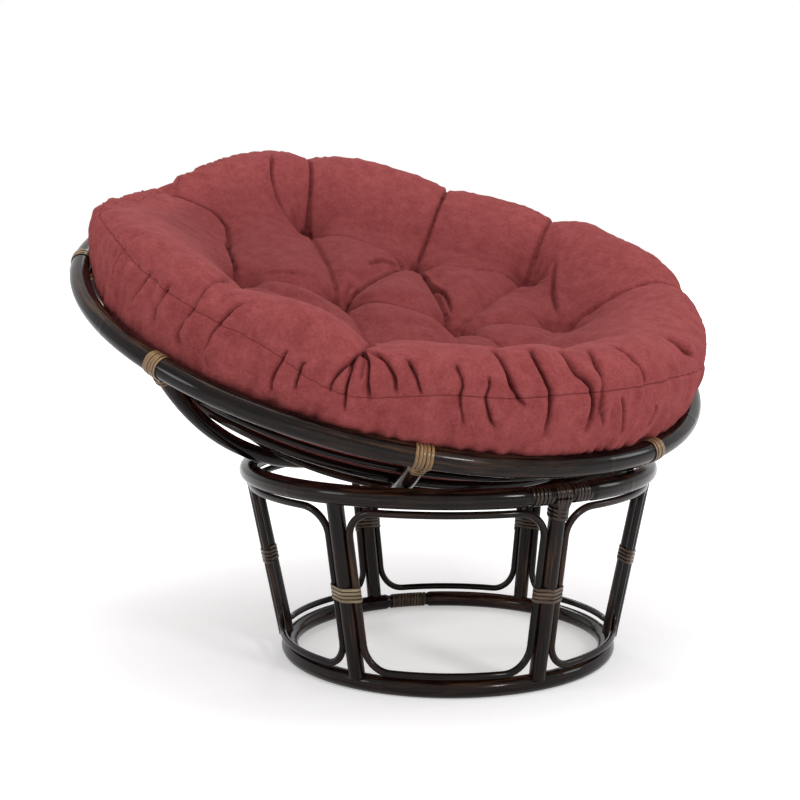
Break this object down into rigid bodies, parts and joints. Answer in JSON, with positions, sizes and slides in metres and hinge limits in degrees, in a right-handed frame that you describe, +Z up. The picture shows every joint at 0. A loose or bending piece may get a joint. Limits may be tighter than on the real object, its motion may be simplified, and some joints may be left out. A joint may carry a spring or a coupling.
{
  "type": "papasan chair",
  "caption": "Round rattan bowl frame resting tilted on a flared round base, filled by a thick tufted cushion.",
  "frame": {"origin": "middle of the chair's bounding box at floor level", "axes": "+Z up, -Y the way the sitter faces, the low side of the rim; +X along the tilt's axis"},
  "size_m": [1.0654, 1.017, 0.8373],
  "materials": {
    "lacquered_pole": "dark espresso lacquer, glossy",
    "lacquered_rod": "dark espresso lacquer, semi-gloss",
    "pale_cane": "pale flat cane, lightly stained",
    "dark_cane": "brown stained flat cane",
    "microsuede": "brushed microsuede"
  },
  "bodies": {
    "base": {"base_top_ring": "lacquered_pole", "base_bottom_ring": "lacquered_pole", "base_post_1": "lacquered_pole", "base_post_2": "lacquered_pole", "base_post_3": "lacquered_pole", "base_post_4": "lacquered_pole", "base_post_5": "lacquered_pole", "base_post_6": "lacquered_pole", "base_loop_1": "lacquered_rod", "base_loop_2": "lacquered_rod", "base_loop_3": "lacquered_rod", "base_loop_4": "lacquered_rod", "base_loop_5": "lacquered_rod", "base_loop_6": "lacquered_rod", "post_binding_1": "dark_cane", "post_binding_2": "dark_cane", "post_binding_3": "dark_cane", "post_binding_4": "dark_cane", "post_binding_5": "dark_cane", "post_binding_6": "pale_cane", "neck_binding_1": "dark_cane", "neck_binding_3": "dark_cane", "neck_binding_4": "dark_cane", "top_splice_left": "dark_cane", "top_splice_right": "dark_cane", "bottom_splice": "dark_cane"},
    "bowl": {"bowl_rim": "lacquered_pole", "bowl_hoop_upper": "lacquered_rod", "bowl_hoop_middle": "lacquered_rod", "bowl_hoop_lower": "lacquered_rod", "bowl_bottom_ring": "lacquered_pole", "bowl_rib_1": "lacquered_pole", "bowl_rib_2": "lacquered_pole", "bowl_rib_3": "lacquered_pole", "bowl_rib_4": "lacquered_pole", "bowl_rib_5": "lacquered_pole", "bowl_rib_6": "lacquered_pole", "bowl_rib_7": "lacquered_pole", "bowl_rib_8": "lacquered_pole", "rim_binding_1": "pale_cane", "rim_binding_2": "pale_cane", "rim_binding_3": "pale_cane", "rim_binding_4": "pale_cane", "rim_binding_5": "pale_cane", "rim_binding_6": "pale_cane", "rim_binding_7": "pale_cane", "rim_binding_8": "pale_cane"},
    "cushion": {"cushion": "microsuede"}
  },
  "joints": [
    {"name": "bowl_tilt", "type": "hinge", "parent": "base", "child": "bowl", "pos_m": [0, -0.13138, 0.89897], "axis": [1, 0, 0], "range_deg": [-43.32, 0]},
    {"name": "cushion_lift", "type": "slide", "parent": "bowl", "child": "cushion", "axis": [0, -0.3691, 0.9294], "range_m": [0, 0.25]}
  ]
}
